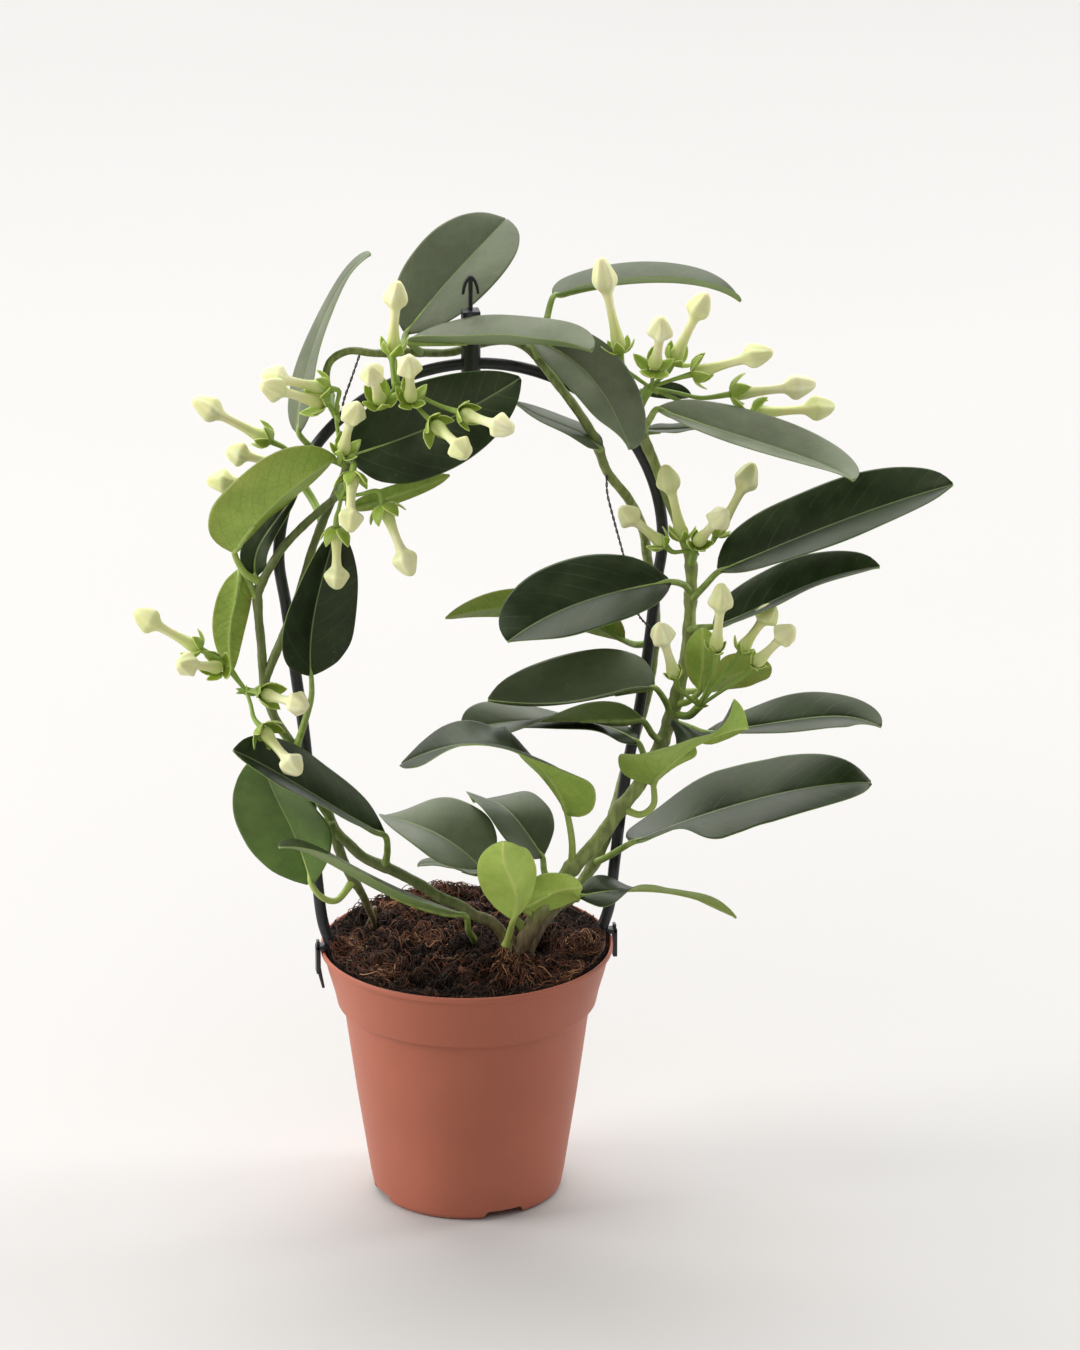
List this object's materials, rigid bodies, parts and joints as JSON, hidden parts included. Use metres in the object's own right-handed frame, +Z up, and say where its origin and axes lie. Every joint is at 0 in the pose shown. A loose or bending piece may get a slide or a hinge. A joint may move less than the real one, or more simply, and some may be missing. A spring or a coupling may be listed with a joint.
{
  "type": "potted madagascar jasmine",
  "caption": "Twining vine with dark leathery leaves and clusters of cream-white pointed buds, trained round a black plastic hoop in a terracotta-coloured nursery pot.",
  "frame": {"origin": "middle of the pot's base, on the surface the pot stands on", "axes": "+Z up along the pot's axis; the hoop lies in the XZ plane; the side seen in the picture faces -Y"},
  "size_m": [0.3276, 0.1301, 0.4083],
  "materials": {
    "terracotta_plastic": "satin injection-moulded plastic, terracotta colour",
    "soil": "rough fibrous potting mix",
    "hoop_plastic": "satin black plastic",
    "stem": "living green stem, woody at the soil",
    "leaf": "leathery leaf, satin above and paler below",
    "bud": "waxy bud, cream with a green tube and green sepals",
    "tie_wire": "thin dark coated wire"
  },
  "bodies": {
    "root": {"hoop": "hoop_plastic", "leaf_centre_dark": "leaf", "leaf_centre_right": "leaf", "leaf_centre_sliver": "leaf", "leaf_inner_behind": "leaf", "leaf_inner_dark": "leaf", "leaf_inner_folded": "leaf", "leaf_inner_third": "leaf", "leaf_inner_under": "leaf", "leaf_left_bright": "leaf", "leaf_left_edge_on": "leaf", "leaf_left_face": "leaf", "leaf_left_hanging": "leaf", "leaf_left_low": "leaf", "leaf_left_narrow": "leaf", "leaf_left_small": "leaf", "leaf_left_upright": "leaf", "leaf_low_left": "leaf", "leaf_low_overturned": "leaf", "leaf_low_sliver": "leaf", "leaf_low_twisted": "leaf", "leaf_low_upright": "leaf", "leaf_right_high": "leaf", "leaf_right_light": "leaf", "leaf_right_long": "leaf", "leaf_right_low": "leaf", "leaf_right_low_back": "leaf", "leaf_right_mid": "leaf", "leaf_right_round": "leaf", "leaf_soil_right": "leaf", "leaf_soil_round": "leaf", "leaf_soil_small": "leaf", "leaf_thin_right": "leaf", "leaf_tiny_right": "leaf", "leaf_top_arch": "leaf", "leaf_top_back": "leaf", "leaf_top_bar": "leaf", "leaf_top_droop": "leaf", "pot": "terracotta_plastic", "soil": "soil", "spray_far_left": "bud", "spray_left_back": "bud", "spray_left_hanging": "bud", "spray_low_left": "bud", "spray_low_right": "bud", "spray_right": "bud", "spray_top_left": "bud", "spray_top_right": "bud", "stem_left": "stem", "stem_long": "stem", "stem_right": "stem", "tie_left": "tie_wire", "tie_right": "tie_wire", "tie_top": "tie_wire"}
  },
  "joints": []
}
